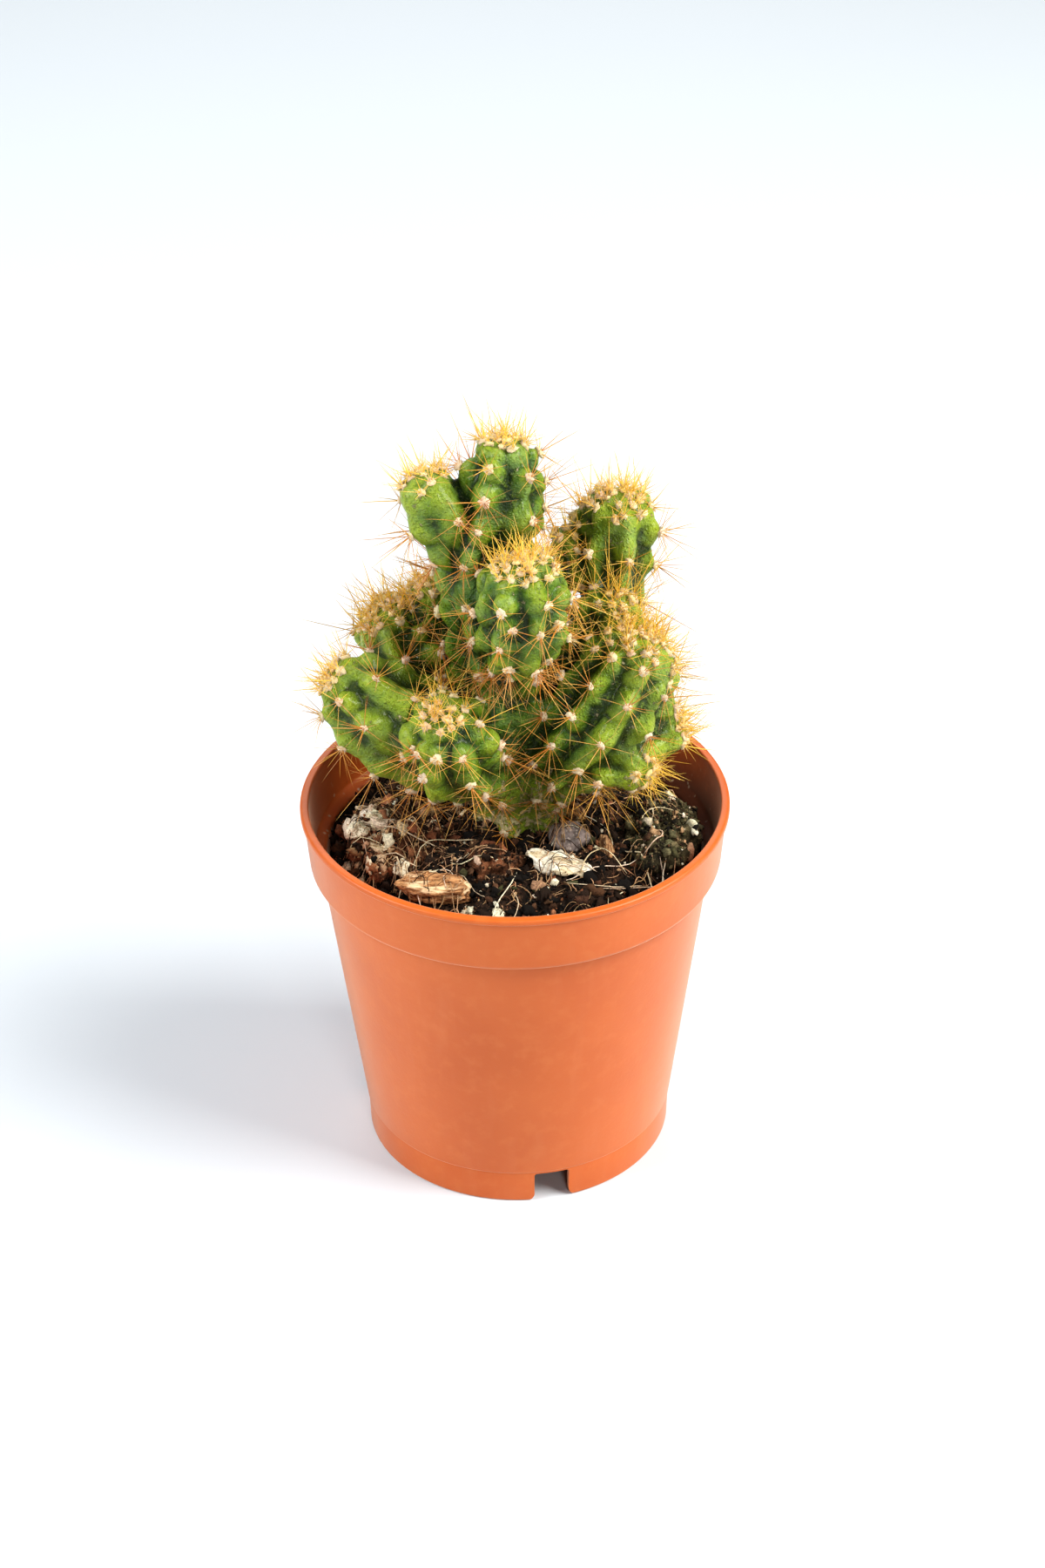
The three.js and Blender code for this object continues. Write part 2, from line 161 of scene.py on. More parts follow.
def copyOfNode(name, label):
    obj = newObject(label, nodes[name].data.copy())
    obj.data.materials.clear()
    pick(obj)
    bpy.ops.object.mode_set(mode="EDIT")
    bpy.ops.mesh.select_all(action="SELECT")
    bpy.ops.mesh.remove_doubles(threshold=0.01 * mm)
    bpy.ops.mesh.tris_convert_to_quads(face_threshold=math.radians(50), shape_threshold=math.radians(50))
    bpy.ops.object.mode_set(mode="OBJECT")
    return obj


def joinPieces(pieces, label):
    deselectAll()
    for piece in pieces:
        piece.select_set(True)
    bpy.context.view_layer.objects.active = pieces[0]
    bpy.ops.object.join()
    joined = bpy.context.object
    joined.name = label
    joined.data.name = label
    return joined


def treeOf(obj):
    mesh = obj.data
    return BVHTree.FromPolygons([v.co for v in mesh.vertices], [p.vertices for p in mesh.polygons])


def coordsOf(mesh):
    coords = np.empty(len(mesh.vertices) * 3)
    mesh.vertices.foreach_get("co", coords)
    return coords.reshape(-1, 3)


def normalsOf(mesh):
    normals = np.empty(len(mesh.vertices) * 3)
    mesh.vertices.foreach_get("normal", normals)
    return normals.reshape(-1, 3)


def waves(coords, layers, stretch=(1, 1, 1)):
    total = np.zeros(len(coords))
    for size, height in layers:
        spots = coords * np.array(stretch) / (size * mm)
        total += [height * noise.noise(spot) for spot in spots]
    return total


def moveTo(mesh, coords):
    mesh.vertices.foreach_set("co", coords.ravel())
    mesh.update()


def smoothShade(obj):
    pick(obj)
    bpy.ops.object.shade_smooth()


def finishPiece(obj, material, replaced=()):
    obj.data.materials.clear()
    obj.data.materials.append(material)
    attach(obj, "root")
    if replaced:
        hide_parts(*replaced)


# A filled circle drawn up, in and out from station to station, as on a lathe. A station is (radius, height)
# in mm.
def turnedShape(label, segments, stations):
    deselectAll()
    radius, height = stations[0]
    bpy.ops.mesh.primitive_circle_add(
        vertices=segments, radius=radius * mm, fill_type="NGON", location=(0, 0, height * mm)
    )
    obj = bpy.context.object
    obj.name = label
    restAtOrigin(obj)
    bpy.ops.object.mode_set(mode="EDIT")
    bpy.ops.mesh.select_all(action="SELECT")
    for (r0, h0), (r1, h1) in zip(stations, stations[1:]):
        bpy.ops.mesh.extrude_region_move(TRANSFORM_OT_translate={"value": (0, 0, (h1 - h0) * mm)})
        share = r1 / r0
        bpy.ops.transform.resize(value=(share, share, 1), center_override=(0, 0, h1 * mm))
    bpy.ops.object.mode_set(mode="OBJECT")
    faceOutwards(obj)
    return obj


# An outline whose corners are rounded. A corner is (radius, height, how far the round reaches along each
# side).
def roundedOutline(corners, steps=4):
    points = []
    for i, (r, z, reach) in enumerate(corners):
        here = Vector((r, z))
        if reach == 0 or i in (0, len(corners) - 1):
            points.append((r, z))
            continue
        before = here + (Vector(corners[i - 1][:2]) - here).normalized() * reach
        after = here + (Vector(corners[i + 1][:2]) - here).normalized() * reach
        for k in range(steps + 1):
            t = k / steps
            spot = before * (1 - t) ** 2 + here * 2 * t * (1 - t) + after * t * t
            points.append((spot.x, spot.y))
    return points


# Small tools for materials.


# Screen values from 0 to 255, as linear light.
def colour(*shades):
    return tuple(((c / 255 + 0.055) / 1.055) ** 2.4 if c > 10 else c / 255 / 12.92 for c in shades)


class Wire:
    # an output of a node, on which sums are written as plain arithmetic
    def __init__(self, finish, socket):
        self.finish = finish
        self.socket = socket

    def maths(self, operation, first, second=0.0):
        return self.finish.node("ShaderNodeMath", {"operation": operation}, {0: first, 1: second})

    def __add__(self, other):
        return self.maths("ADD", self, other)

    def __sub__(self, other):
        return self.maths("SUBTRACT", self, other)

    def __mul__(self, other):
        return self.maths("MULTIPLY", self, other)

    def __truediv__(self, other):
        return self.maths("DIVIDE", self, other)

    def __radd__(self, other):
        return self.maths("ADD", other, self)

    def __rsub__(self, other):
        return self.maths("SUBTRACT", other, self)

    def __rmul__(self, other):
        return self.maths("MULTIPLY", other, self)


class Finish:
    def __init__(self, name, **sockets):
        self.material = bpy.data.materials.new(name)
        self.material.use_nodes = True
        self.tree = self.material.node_tree
        self.shader = self.tree.nodes["Principled BSDF"]
        self.set(**sockets)

    # sockets of the surface shader: base_color sets Base Color
    def set(self, **sockets):
        for key, value in sockets.items():
            self.feed(self.shader.inputs[key.replace("_", " ").title().replace("Ior", "IOR")], value)

    def feed(self, socket, value):
        if isinstance(value, Wire):
            self.tree.links.new(value.socket, socket)
        elif isinstance(value, tuple) and len(value) == 3 and socket.type == "RGBA":
            socket.default_value = (*value, 1)
        else:
            socket.default_value = value

    def node(self, kind, settings, values, out=0):
        made = self.tree.nodes.new(kind)
        for key, value in settings.items():
            setattr(made, key, value)
        for key, value in values.items():
            self.feed(made.inputs[key], value)
        return Wire(self, made.outputs[out])

    def place(self):
        return self.node("ShaderNodeTexCoord", {}, {}, "Object")

    def axes(self, vector):
        split = self.node("ShaderNodeSeparateXYZ", {}, {0: vector})
        return [Wire(self, split.socket.node.outputs[i]) for i in range(3)]

    def stretched(self, vector, scale):
        return self.node("ShaderNodeMapping", {}, {"Vector": vector, "Scale": scale})

    # a cloudy pattern from 0 to 1, whose spots are about this many mm across
    def clouds(self, size, detail=3.0, rough=0.55, vector=None):
        values = {"Scale": 1 / (size * mm), "Detail": detail, "Roughness": rough}
        values["Vector"] = vector or self.place()
        return self.node("ShaderNodeTexNoise", {}, values, 0)

    # a pattern of cells this many mm across: 0 at a cell's middle, and more towards its edge
    def cells(self, size):
        values = {"Scale": 1 / (size * mm), "Vector": self.place()}
        return self.node("ShaderNodeTexVoronoi", {}, values, 0)

    # 0 below low, 1 above high, and a smooth slope between
    def between(self, value, low, high):
        values = {"Value": value, "From Min": low, "From Max": high}
        return self.node("ShaderNodeMapRange", {"interpolation_type": "SMOOTHSTEP"}, values)

    def mix(self, factor, first, second):
        made = self.tree.nodes.new("ShaderNodeMix")
        made.data_type = "RGBA"
        for key, value in ((0, factor), (6, first), (7, second)):
            self.feed(made.inputs[key], value)
        return Wire(self, made.outputs[2])

    def attribute(self, name):
        return self.node("ShaderNodeAttribute", {"attribute_name": name}, {}, "Color")

    def bump(self, height, depth, strength=1.0):
        values = {"Height": height, "Distance": depth * mm, "Strength": strength}
        self.set(normal=self.node("ShaderNodeBump", {}, values))


# The pot.

potShape = {
    "segments": 160,
    "foot": 20.0,
    "footInner": 19.2,
    "footTop": 4.6,
    "bodyFoot": 20.3,
    "bodyTop": 25.1,
    "bodyTopAt": 41.7,
    "collarFoot": 26.5,
    "collarTop": 27.12,
    "lipFootAt": 49.05,
    "rim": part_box("pot")[1][0] / mm,
    "height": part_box("pot")[1][2] / mm,
    "wall": 0.8,
    "notchWidth": 4.6,
    "notchRound": 1.1,
    "notchHeight": 4.45,
    "notchAngles": (-77.7, 42.3, 162.3),
    "cutDepth": 8.0,
    "drainRadius": 2.2,
    "drainCircle": 12,
    "middleDrain": 2.5,
}


def potOutline(look):
    foot, footInner, footTop = look["foot"], look["footInner"], look["footTop"]
    bodyFoot, bodyTop, bodyTopAt = look["bodyFoot"], look["bodyTop"], look["bodyTopAt"]
    collarFoot, collarTop, lipFootAt = look["collarFoot"], look["collarTop"], look["lipFootAt"]
    rim, top, wall = look["rim"], look["height"], look["wall"]
    return roundedOutline(
        [
            (footInner, footTop, 0),
            (footInner, 0, 0.12),
            (foot, 0, 0.3),
            (bodyFoot - 0.16, footTop, 0.12),
            (bodyFoot - 0.16, footTop + 0.1, 0.05),
            (bodyFoot, footTop + 0.26, 0.12),
            (bodyTop, bodyTopAt - 0.5, 0.3),
            (bodyTop + 0.5, bodyTopAt - 0.15, 0.2),
            (collarFoot, bodyTopAt + 0.3, 0.45),
            (collarTop, lipFootAt, 0.14),
            (rim, lipFootAt + 0.18, 0.16),
            (rim, top, 0.4),
            (collarTop - wall + 0.05, top, 0.3),
            (collarTop - wall, lipFootAt, 0.1),
            (collarFoot - wall, bodyTopAt + 1.7, 0.5),
            (bodyTop - wall, bodyTopAt + 1.1, 0.5),
            (bodyFoot - wall, footTop + wall, 0.6),
            (4.0, footTop + wall, 0),
        ]
    )


def drainCutter(radius, spot):
    deselectAll()
    place = Vector(spot) * mm
    bpy.ops.mesh.primitive_cylinder_add(vertices=32, radius=radius * mm, depth=6 * mm, location=place)
    return bpy.context.object


# The notch's outline stands on the ground and its lower corners flare out with a round.
def notchCutter(look, angle):
    half = look["notchWidth"] / 2
    flare = look["notchRound"]
    start = look["foot"] * mm - look["cutDepth"] / 2 * mm
    side = [(half + flare, -1), (half + flare, 0)]
    for k in range(1, 7):
        t = math.radians(k * 15)
        side.append((half + flare - flare * math.sin(t), flare - flare * math.cos(t)))
    side += [(half, look["notchHeight"] - 0.25), (half - 0.25, look["notchHeight"])]
    outline = side + [(-x, z) for x, z in reversed(side)]
    mesh = bmesh.new()
    face = mesh.faces.new([mesh.verts.new((start, x * mm, z * mm)) for x, z in outline])
    grown = bmesh.ops.extrude_face_region(mesh, geom=[face])
    moved = [v for v in grown["geom"] if isinstance(v, bmesh.types.BMVert)]
    bmesh.ops.translate(mesh, verts=moved, vec=(look["cutDepth"] * mm, 0, 0))
    turn = Matrix.Rotation(math.radians(angle), 3, "Z")
    bmesh.ops.rotate(mesh, verts=mesh.verts, cent=(0, 0, 0), matrix=turn)
    bmesh.ops.recalc_face_normals(mesh, faces=mesh.faces)
    data = bpy.data.meshes.new("notch")
    mesh.to_mesh(data)
    mesh.free()
    return newObject("notch", data)


def modelPot(look):
    pot = turnedShape("nursery_pot", look["segments"], potOutline(look))
    cutters = [drainCutter(look["middleDrain"], (0, 0, look["footTop"]))]
    for angle in look["notchAngles"]:
        turn = math.radians(angle)
        spot = (look["drainCircle"] * math.cos(turn), look["drainCircle"] * math.sin(turn), look["footTop"])
        cutters += [drainCutter(look["drainRadius"], spot), notchCutter(look, angle)]
    for cutter in cutters:
        applyModifier(pot, "BOOLEAN", object=cutter, operation="DIFFERENCE", solver="EXACT")
        bpy.data.objects.remove(cutter)
    markInside(pot, look)
    pick(pot)
    bpy.ops.object.shade_smooth_by_angle(angle=math.radians(32))
    return pot


# The mark is 1 on the inner wall and 0 elsewhere.
def markInside(pot, look):
    marks = pot.data.color_attributes.new("potMarks", "FLOAT_COLOR", "POINT")
    for vertex, mark in zip(pot.data.vertices, marks.data):
        reach = math.hypot(vertex.co.x, vertex.co.y) / mm
        height = vertex.co.z / mm
        climb = (height - look["footTop"]) / (look["bodyTopAt"] - look["footTop"])
        outer = look["bodyFoot"] + (look["bodyTop"] - look["bodyFoot"]) * climb
        if height > look["bodyTopAt"]:
            outer = look["collarFoot"]
        inside = 1.0 if reach < outer - 0.3 and height > look["footTop"] + 0.4 else 0.0
        mark.color = (inside, inside, inside, 1)


def potFinish():
    finish = Finish("terracotta plastic", specular_ior_level=0.35, subsurface_weight=0.08, coat_weight=0.05)
    finish.set(subsurface_radius=(0.8 * mm, 0.3 * mm, 0.15 * mm), coat_roughness=0.3)
    finish.set(sheen_weight=0.62, sheen_roughness=0.36, sheen_tint=colour(255, 222, 196))
    inside, _, _ = finish.axes(finish.attribute("potMarks"))
    x, _, z = finish.axes(finish.place())
    broad = finish.clouds(22, detail=2)
    mottle = finish.clouds(2.2, detail=4)
    streak = finish.clouds(3.0, detail=3, vector=finish.stretched(finish.place(), (1, 1, 0.16)))
    plain = finish.mix(finish.between(broad, 0.3, 0.7), colour(190, 91, 31), colour(199, 100, 39))
    plain = finish.mix(finish.between(mottle, 0.45, 0.75) * 0.2, plain, colour(212, 124, 68))
    dust = finish.between(streak, 0.52, 0.78) * 0.05
    plain = finish.mix(dust, plain, colour(226, 156, 112))
    # water marks and dirt on the inner wall, with more of the dark film lower down, just over the mix;
    # painted shade adds to it towards the right side
    film = finish.clouds(1.6, detail=6, rough=0.7)
    low = 1.0 - finish.between(z, 44.0 * mm, 49.6 * mm)
    # painted shade: the dark film grows from the left side of the inner wall towards the right
    shady = finish.between(x, -10 * mm, 12 * mm) * 0.5 - 0.3
    dirtAndShade = finish.between(film + low * 0.3 + shady, 0.6, 0.84) * inside
    plain = finish.mix(dirtAndShade * 0.82, plain, colour(74, 42, 26))
    scale = finish.between(finish.cells(1.1), 0.0, 0.34)
    chalk = (1.0 - scale) * finish.between(finish.clouds(3.2), 0.5, 0.56) * inside
    plain = finish.mix(chalk * 0.75, plain, colour(214, 196, 170))
    finish.set(base_color=plain)
    finish.set(roughness=0.34 + mottle * 0.14 + dirtAndShade * 0.35)
    finish.bump(finish.clouds(0.5, detail=3) * 0.5 + finish.clouds(5.0, detail=2), 0.05, 0.5)
    return finish.material


pot = modelPot(potShape)
finishPiece(pot, potFinish(), ["pot"])
print("pot modelled:", len(pot.data.polygons), "faces")


# Ribbed stems.

skinShape = {
    "rootReach": 0.7,  # a copy's points this near an older stem belong to its root
    "rootSink": 1.6,  # and are pushed this far into that stem
    "inflate": 0.24,
    "voxel": 0.35,
    "smoothing": 3,
    "crowded": 4.5,  # knobs nearer than this to another stem are hidden in dense old spines
    "crowdedFrom": 61,
    "knobStands": 0.34,  # a knob stands out this far from its neighbours
    "knobClear": 0.5,  # and is this far from the other stems
    "knobHeight": 0.5,
    "knobReach": 1.3,
    "creaseDepth": 0.5,
    "creaseWidth": 0.7,
    "creaseReach": 4.5,
    "creaseFrom": 1.6,
    "creaseShare": 0.55,
    "creaseWaves": ((5.0, 1.4),),
    "reliefRounds": 26,
    "reliefHeight": 0.55,
    "markHeight": 50,
    "ripples": ((6.5, 0.8), (2.8, 0.35), (1.2, 0.1)),
}


def stemTip(name):
    tuft = coordsOf(nodes[name + "_spines"].data).mean(axis=0)
    stem = coordsOf(nodes[name].data)
    tip = Vector(stem[np.argmin(((stem - tuft) ** 2).sum(axis=1))])
    return tip, (Vector(tuft) - tip).normalized()


# The rib's knobs are the points of a stem that stand clear of all their neighbours.
def findKnobs(copies, look):
    trees = {name: treeOf(obj) for name, obj in copies.items()}
    knobs = []
    for name, obj in copies.items():
        mesh = bmesh.new()
        mesh.from_mesh(obj.data)
        for vertex in mesh.verts:
            around = [edge.other_vert(vertex).co for edge in vertex.link_edges]
            middle = sum(around, Vector()) / len(around)
            stands = (vertex.co - middle).dot(vertex.normal)
            others = [tree.find_nearest(vertex.co)[3] for key, tree in trees.items() if key != name]
            if stands > look["knobStands"] * mm and min(others) > look["knobClear"] * mm:
                crowded = min(others) < look["crowded"] * mm and vertex.co.z > look["crowdedFrom"] * mm
                knobs.append((vertex.co.copy(), crowded, name))
        mesh.free()
    return knobs


def sinkRoots(copies, look):
    trees = {name: treeOf(obj) for name, obj in copies.items()}
    names = list(copies)
    for place, name in enumerate(names):
        for vertex in copies[name].data.vertices:
            for older in names[:place]:
                spot, normal, _, gap = trees[older].find_nearest(vertex.co)
                if gap < look["rootReach"] * mm:
                    vertex.co = spot - normal * look["rootSink"] * mm


def swellOut(obj, distance):
    moveTo(obj.data, coordsOf(obj.data) + normalsOf(obj.data) * distance)


# How far each point stands out from the surface averaged over its surroundings.
def reliefOf(mesh, rounds):
    coords = coordsOf(mesh)
    edges = np.empty(len(mesh.edges) * 2, dtype=np.int64)
    mesh.edges.foreach_get("vertices", edges)
    first, second = edges.reshape(-1, 2).T
    count = len(coords)
    links = np.bincount(first, minlength=count) + np.bincount(second, minlength=count)
    smooth = coords.copy()
    for _ in range(rounds):
        for axis in range(3):
            total = np.bincount(first, smooth[second, axis], count)
            total = total + np.bincount(second, smooth[first, axis], count)
            smooth[:, axis] = total / links
    return ((coords - smooth) * normalsOf(mesh)).sum(axis=1)


# Each areole stands on a knob of its own, parted from the next one by a crease.
def raiseKnobs(obj, areoles, look):
    tree = KDTree(len(areoles))
    for i, areole in enumerate(areoles):
        tree.insert(areole[0], i)
    tree.balance()
    coords = coordsOf(obj.data)
    lift = waves(coords, look["ripples"])
    uneven = np.clip(look["creaseShare"] + waves(coords, look["creaseWaves"]), 0, 1)
    for i, spot in enumerate(coords):
        (_, _, gap), (_, _, nextGap) = tree.find_n(spot, 2)
        gap, nextGap = gap / mm, nextGap / mm
        crease = math.exp(-(((nextGap - gap) / look["creaseWidth"]) ** 2))
        crease *= min(1, gap / look["creaseFrom"])
        crease *= math.exp(-((gap / look["creaseReach"]) ** 2))
        lift[i] += look["knobHeight"] * math.exp(-((gap / look["knobReach"]) ** 2))
        lift[i] -= look["creaseDepth"] * crease * uneven[i]
    moveTo(obj.data, coords + normalsOf(obj.data) * lift[:, None] * mm)


def modelSkin(look):
    copies = {name: copyOfNode(name, name + " copy") for name in stemNames}
    knobs = findKnobs(copies, look)
    sinkRoots(copies, look)
    for obj in copies.values():
        applyModifier(obj, "SUBSURF", levels=2, render_levels=2)
        swellOut(obj, look["inflate"] * mm)
    skin = joinPieces(list(copies.values()), "cactus_plant")
    applyModifier(skin, "REMESH", mode="VOXEL", voxel_size=look["voxel"] * mm)
    applyModifier(skin, "SMOOTH", factor=0.5, iterations=look["smoothing"])
    smoothShade(skin)
    return skin, knobs


# Red is the relief, from which the skin's finish paints shade into the furrows and light onto the ridges;
# green the height over the mix.
def markSkin(skin, ground, look):
    relief = reliefOf(skin.data, look["reliefRounds"]) / (look["reliefHeight"] * mm)
    marks = skin.data.color_attributes.new("skinMarks", "FLOAT_COLOR", "POINT")
    coords = coordsOf(skin.data)
    values = np.ones((len(coords), 4))
    values[:, 0] = np.clip(0.5 + relief * 0.5, 0, 1)
    values[:, 1] = np.clip((coords[:, 2] - ground) / (look["markHeight"] * mm), 0, 1)
    marks.data.foreach_set("color", values.ravel())


def skinFinish():
    finish = Finish("cactus_skin", specular_ior_level=0.35, subsurface_weight=0.05, coat_weight=0.22)
    finish.set(subsurface_radius=(0.5 * mm, 1.0 * mm, 0.25 * mm), coat_roughness=0.12)
    relief, height, _ = finish.axes(finish.attribute("skinMarks"))
    patches = finish.clouds(4.5, detail=5, rough=0.6)
    fine = finish.clouds(0.9, detail=5, rough=0.65)
    # painted shade: where the relief sinks into furrows and creases, the skin is painted dark green
    ridge = finish.between(relief, 0.28, 0.64)
    paintedFurrowShade = colour(22, 46, 2)
    green = finish.mix(finish.between(patches, 0.35, 0.65), colour(58, 98, 8), colour(104, 132, 16))
    plain = finish.mix(ridge, paintedFurrowShade, green)
    # painted highlight: the crests of the ridges are painted a pale yellow-green
    plain = finish.mix(finish.between(relief, 0.6, 0.95) * 0.5, plain, colour(166, 182, 54))
    # the foot of the plant is painted yellower and lighter: partly its own colour, partly painted light
    # against the shade that the stems above cast on it
    low = 1.0 - finish.between(height, 0.0, 0.3)
    plain = finish.mix(low * 0.65, plain, colour(172, 194, 66))
    # painted light: the outer stems on both sides are painted lighter, mostly on their ridges
    x, _, _ = finish.axes(finish.place())
    outer = finish.between((x / mm) * (x / mm), 5**2, 15**2)
    plain = finish.mix(outer * (0.04 + ridge * 0.3), plain, colour(180, 194, 54))
    # waxy bloom in soft blotches
    bloom = finish.between(finish.clouds(3.4, detail=5, rough=0.65), 0.44, 0.66)
    bloom = bloom * finish.between(relief, 0.24, 0.56)
    plain = finish.mix(bloom * (0.25 + height * 0.3), plain, colour(124, 154, 90))
    plain = finish.mix(finish.between(fine, 0.52, 0.68) * 0.4, plain, colour(142, 168, 44))
    plain = finish.mix(finish.between(fine, 0.34, 0.48) * -0.35 + 0.35, plain, colour(42, 76, 10))
    speckle = 1.0 - finish.between(finish.cells(0.42), 0.0, 0.5)
    plain = finish.mix(speckle * 0.14, plain, colour(190, 204, 96))
    # dry corky flecks, mostly near the mix
    cork = finish.between(finish.clouds(1.2, detail=6, rough=0.7) + low * 0.16, 0.62, 0.69)
    plain = finish.mix(cork * 0.85, plain, colour(206, 192, 150))
    shadow = finish.between(finish.clouds(1.7, detail=5, rough=0.65), 0.55, 0.72)
    plain = finish.mix(shadow * 0.3, plain, colour(52, 88, 8))
    finish.set(base_color=plain)
    finish.set(roughness=0.24 + fine * 0.22 + bloom * 0.2 + cork * 0.3)
    finish.bump(fine * 1.6 + speckle * 0.5 + cork * 0.8 + patches * 2.0, 0.36, 1.0)
    return finish.material


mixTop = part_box("potting_mix")[1][2]
skin, knobs = modelSkin(skinShape)
tips = [stemTip(name) for name in stemNames]
print("stems grown together:", len(skin.data.polygons), "faces,", len(knobs), "knobs")


# Copies scattered by the hundred.


# A modelled shape as arrays: points, faces, and how far up its height each point lies, from 0 to 1.
def patternOf(obj):
    coords = coordsOf(obj.data)
    low, high = coords[:, 2].min(), coords[:, 2].max()
    faces = [tuple(p.vertices) for p in obj.data.polygons]
    along = (coords[:, 2] - low) / max(high - low, 1e-9)
    bpy.data.objects.remove(obj)
    return coords, faces, along


def tintedObject(label, mesh, tints):
    tint = mesh.color_attributes.new("tint", "FLOAT_COLOR", "POINT")
    tint.data.foreach_set("color", tints.ravel())
    mesh.shade_smooth()
    return newObject(label, mesh)


# One mesh of many copies. A placing is (pattern number, matrix, colour at its foot, colour at its top).
def scatterCopies(label, patterns, placings):
    points, tints, loops, sizes = [], [], [], []
    base = 0
    for number, matrix, foot, top in placings:
        coords, faces, along = patterns[number]
        turn = np.array(matrix)
        points.append(coords @ turn[:3, :3].T + turn[:3, 3])
        shade = np.ones((len(coords), 4))
        shade[:, :3] = np.outer(1 - along, foot) + np.outer(along, top)
        tints.append(shade)
        for face in faces:
            loops.extend(base + i for i in face)
            sizes.append(len(face))
        base += len(coords)
    mesh = bpy.data.meshes.new(label)
    mesh.vertices.add(base)
    mesh.vertices.foreach_set("co", np.concatenate(points).ravel())
    mesh.loops.add(len(loops))
    mesh.loops.foreach_set("vertex_index", loops)
    mesh.polygons.add(len(sizes))
    mesh.polygons.foreach_set("loop_start", np.concatenate(([0], np.cumsum(sizes)[:-1])))
    mesh.update(calc_edges=True)
    return tintedObject(label, mesh, np.concatenate(tints))


def anyTurn(chance):
    return chance.uniform(0, 6.3)


def placing(spot, direction, spin, size):
    turn = direction.to_track_quat("Z", "Y").to_matrix().to_4x4()
    scale = Matrix.Diagonal((*size, 1))
    return Matrix.Translation(spot) @ turn @ Matrix.Rotation(spin, 4, "Z") @ scale


# A tapered stalk of unit length that bows to one side, drawn out of a small circle.
def modelStalk(label, sides, stations, bow):
    stalk = turnedShape(label, sides, [(radius * 1000, height * 1000) for height, radius in stations])
    for vertex in stalk.data.vertices:
        vertex.co.x += bow * vertex.co.z**2
    return patternOf(stalk)


def modelLump(label, subdivisions, rough, seed):
    deselectAll()
    bpy.ops.mesh.primitive_ico_sphere_add(subdivisions=subdivisions, radius=1)
    lump = bpy.context.object
    lump.name = label
    for vertex in lump.data.vertices:
        push = noise.noise(vertex.co * 1.4 + Vector((seed * 7.1, seed * 3.3, seed)))
        push += 0.5 * noise.noise(vertex.co * 3.1 + Vector((seed, seed * 5.7, seed * 2.9)))
        vertex.co *= 1 + rough * push
    return patternOf(lump)


def tinted(shade, amount, chance):
    light = 1 + amount * chance.uniform(-1, 1)
    return tuple(min(1, c * light * (1 + 0.06 * chance.uniform(-1, 1))) for c in shade)


def blend(first, second, share):
    return tuple(a + (b - a) * share for a, b in zip(first, second))


# Areoles and spines.

youngFrom = 0.42  # an areole's youth is 1 at a tip, and over this in a crown
oldAndCrowded = -1  # the youth of the areoles between stems, with the densest spines
areoleLook = {
    "seed": 11,
    "apart": 1.9,
    "crownReach": {"right_shoot": 6.2, "rear_left_shoot": 3.8, "front_shoot": 4.2, "upper_right_shoot": 3.8},
    "plainReach": 3.0,
    "crownSpacing": 1.15,
    "crownRoom": 1.25,  # more room along a ring than from ring to ring
    "crownApart": 0.72,
    "crownFade": 2.4,
    "castFrom": 5,
    "castReach": 14,
    "oldFrom": 5,  # a crowded areole this far from every tip is an old one
    "youthReach": 26,
    "buried": 1.2,
    "raised": 0.12,
    "padSize": (0.44, 0.66),
    "crownPad": 0.96,
    "wool": colour(240, 224, 190),
    "pinkWool": colour(226, 204, 174),
    "goldWool": colour(240, 206, 120),
    "hairs": (12, 22),
    "hairLength": (0.5, 1.25),
    "hairWidth": 0.05,
}
spineLook = {
    "seed": 23,
    "radialSpines": (8, 12),
    "centrals": (1, 3),
    "crownSpines": (5, 8),
    "crowdedSpines": (9, 13),
    "radialLength": (2.6, 5.4),
    "centralLength": (4.4, 7.4),
    "crownCentrals": (1, 2),
    "crownCentralLength": (3.0, 5.4),
    "crownLength": (1.5, 4.0),
    "longSpined": {"right_rear_shoot": 2.1, "rear_left_shoot": 1.2},
    "brightSpined": ("right_rear_shoot",),
    "crownLean": (20, 82),  # degrees out from the areole's own direction
    "crowdedLean": (40, 80),
    "radialLean": (52, 80),
    "centralLean": (4, 34),
    "crowdedLonger": 1.2,
    "width": 0.054,
    "widthVaries": (0.7, 1.15),
    "radialWidth": 0.8,
    "centralWidth": 1.15,
    "raised": 0.15,
    "bows": (0.5, 5, 11),  # how far a tip is bowed aside, in widths
    "gold": colour(226, 164, 16),
    "paleGold": colour(255, 226, 92),
    "amber": colour(206, 112, 8),
    "rust": colour(154, 76, 10),
    "straw": colour(250, 222, 134),
}


# Areoles sit on the knobs, and crowd together round each tip.
def layOutAreoles(look, skinTree):
    chance = random.Random(look["seed"])
    found = []
    reach = {name: look["crownReach"].get(name, look["plainReach"]) for name in stemNames}
    tipOf = dict(zip(stemNames, tips))
    for name, (tip, ahead) in tipOf.items():
        rings = int(reach[name] / look["crownSpacing"])
        for ring in range(rings + 1):
            radius = ring * look["crownSpacing"]
            count = max(1, round(2 * math.pi * radius / (look["crownSpacing"] * look["crownRoom"])))
            for k in range(count):
                angle = 2 * math.pi * (k + 0.5 * (ring % 2)) / count + chance.uniform(-0.15, 0.15)
                side = ahead.orthogonal().normalized()
                other = ahead.cross(side)
                spot = tip + (side * math.cos(angle) + other * math.sin(angle)) * radius * mm
                start = spot + ahead * look["castFrom"] * mm
                hit, normal, _, _ = skinTree.ray_cast(start, -ahead, look["castReach"] * mm)
                if hit is not None:
                    found.append((hit, normal, name, 1 - radius / (reach[name] + look["crownFade"])))
    for spot, crowded, name in knobs:
        hit, normal, _, _ = skinTree.find_nearest(spot)
        away = min((hit - tip).length for tip, _ in tips) / mm
        youth = max(0.0, youngFrom - away / look["youthReach"])
        if crowded and away > look["oldFrom"]:
            youth = oldAndCrowded
        found.append((hit, normal, name, youth))
    return spacedOut(found, look)


